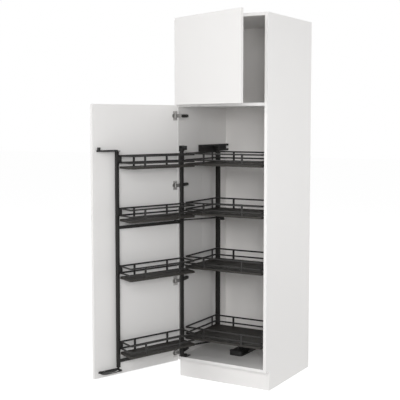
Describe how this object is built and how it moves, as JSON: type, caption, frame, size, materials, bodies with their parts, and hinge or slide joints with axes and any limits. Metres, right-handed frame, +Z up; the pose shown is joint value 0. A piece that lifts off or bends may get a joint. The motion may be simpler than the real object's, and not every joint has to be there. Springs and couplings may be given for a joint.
{
  "type": "pull out larder unit",
  "caption": "Tall white larder cabinet with a short upper door and a long lower door whose opening swings a shelf frame out and draws the inner shelves forward.",
  "frame": {"origin": "on the floor, under the middle of the plinth board", "axes": "+X to the right seen from the front, +Y from the front towards the back, +Z up"},
  "size_m": [0.7838, 1.1985, 2.146],
  "materials": {
    "white_foil": "satin white foil on board",
    "white_board": "matt white board",
    "anthracite_steel": "anthracite powder coat",
    "shelf_rail_steel": "satin anthracite coat",
    "dark_tray_board": "dark matt decor",
    "nickel_steel": "nickel plated",
    "black_plastic": "matt black"
  },
  "bodies": {
    "case": {"side_panel_left": "white_foil", "side_panel_right": "white_foil", "top_panel": "white_foil", "fixed_shelf": "white_foil", "bottom_panel": "white_foil", "back_panel": "white_board", "back_rail_top": "white_board", "back_rail_bottom": "white_board", "plinth_board": "white_foil", "lower_hinge_arm_1": "anthracite_steel", "lower_hinge_arm_2": "anthracite_steel", "lower_hinge_arm_3": "anthracite_steel", "lower_hinge_arm_4": "anthracite_steel", "upper_hinge_arm_1": "anthracite_steel", "upper_hinge_arm_2": "anthracite_steel", "bottom_pivot_bracket": "black_plastic", "top_pivot_bracket": "black_plastic", "wall_rail": "anthracite_steel", "floor_runner": "black_plastic"},
    "lower_door": {"lower_door": "white_foil", "lower_hinge_cup_1": "nickel_steel", "lower_hinge_cup_2": "nickel_steel", "lower_hinge_cup_3": "nickel_steel", "lower_hinge_cup_4": "nickel_steel", "top_guide": "black_plastic", "bottom_guide": "black_plastic"},
    "upper_door": {"upper_door": "white_foil", "upper_hinge_cup_1": "nickel_steel", "upper_hinge_cup_2": "nickel_steel"},
    "lower_hinge_links": {"lower_hinge_link_1": "nickel_steel", "lower_hinge_link_2": "nickel_steel", "lower_hinge_link_3": "nickel_steel", "lower_hinge_link_4": "nickel_steel"},
    "upper_hinge_links": {"upper_hinge_link_1": "nickel_steel", "upper_hinge_link_2": "nickel_steel"},
    "door_shelf_frame": {"frame_pivot_tube": "anthracite_steel", "frame_outer_tube": "anthracite_steel", "frame_low_bar": "anthracite_steel", "frame_middle_bar": "anthracite_steel", "door_shelf_rail_1": "shelf_rail_steel", "door_shelf_rail_2": "shelf_rail_steel", "door_shelf_rail_3": "shelf_rail_steel", "door_shelf_rail_4": "shelf_rail_steel", "door_shelf_tray_1": "dark_tray_board", "door_shelf_tray_2": "dark_tray_board", "door_shelf_tray_3": "dark_tray_board", "door_shelf_tray_4": "dark_tray_board"},
    "inner_shelf_frame": {"inner_post": "anthracite_steel", "low_carrier": "anthracite_steel", "middle_carrier": "anthracite_steel", "inner_shelf_rail_1": "shelf_rail_steel", "inner_shelf_rail_2": "shelf_rail_steel", "inner_shelf_rail_3": "shelf_rail_steel", "inner_shelf_rail_4": "shelf_rail_steel", "inner_shelf_tray_1": "dark_tray_board", "inner_shelf_tray_2": "dark_tray_board", "inner_shelf_tray_3": "dark_tray_board", "inner_shelf_tray_4": "dark_tray_board"},
    "drive_links": {"drive_link_low": "anthracite_steel", "drive_link_middle": "anthracite_steel"}
  },
  "joints": [
    {"name": "lower_door_hinge", "type": "hinge", "parent": "case", "child": "lower_door", "pos_m": [-0.2933, -0.0753, 0.8765], "axis": [0, 0, -1], "range_deg": [-109, 0]},
    {"name": "upper_door_hinge", "type": "hinge", "parent": "case", "child": "upper_door", "pos_m": [-0.2933, -0.0753, 1.8925], "axis": [0, 0, -1], "range_deg": [-21.7, 87.3]},
    {"name": "lower_hinge_link_pivot", "type": "hinge", "parent": "case", "child": "lower_hinge_links", "pos_m": [-0.258, -0.0504, 0.8765], "axis": [0, 0, -1], "range_deg": [-109, 0]},
    {"name": "upper_hinge_link_pivot", "type": "hinge", "parent": "case", "child": "upper_hinge_links", "pos_m": [-0.258, -0.0504, 1.8925], "axis": [0, 0, -1], "range_deg": [-21.7, 87.3]},
    {"name": "door_frame_pivot", "type": "hinge", "parent": "case", "child": "door_shelf_frame", "pos_m": [-0.244, -0.041, 0.7627], "axis": [0, 0, -1], "range_deg": [-109, 0]},
    {"name": "inner_frame_slide", "type": "slide", "parent": "case", "child": "inner_shelf_frame", "axis": [0, -1, 0], "range_m": [-0.14, 0]},
    {"name": "drive_link_pivot", "type": "hinge", "parent": "inner_shelf_frame", "child": "drive_links", "pos_m": [-0.104, 0.164, 0.5835], "axis": [0, 0, -1], "range_deg": [-17.37, 0]}
  ],
  "couplings": [
    {"joint": "door_frame_pivot", "follows": "lower_door_hinge", "ratio": 1},
    {"joint": "lower_hinge_link_pivot", "follows": "lower_door_hinge", "ratio": 1},
    {"joint": "inner_frame_slide", "follows": "lower_door_hinge", "m_per_rad": 0.07359},
    {"joint": "drive_link_pivot", "follows": "lower_door_hinge", "ratio": 0.15927},
    {"joint": "upper_hinge_link_pivot", "follows": "upper_door_hinge", "ratio": 1}
  ]
}
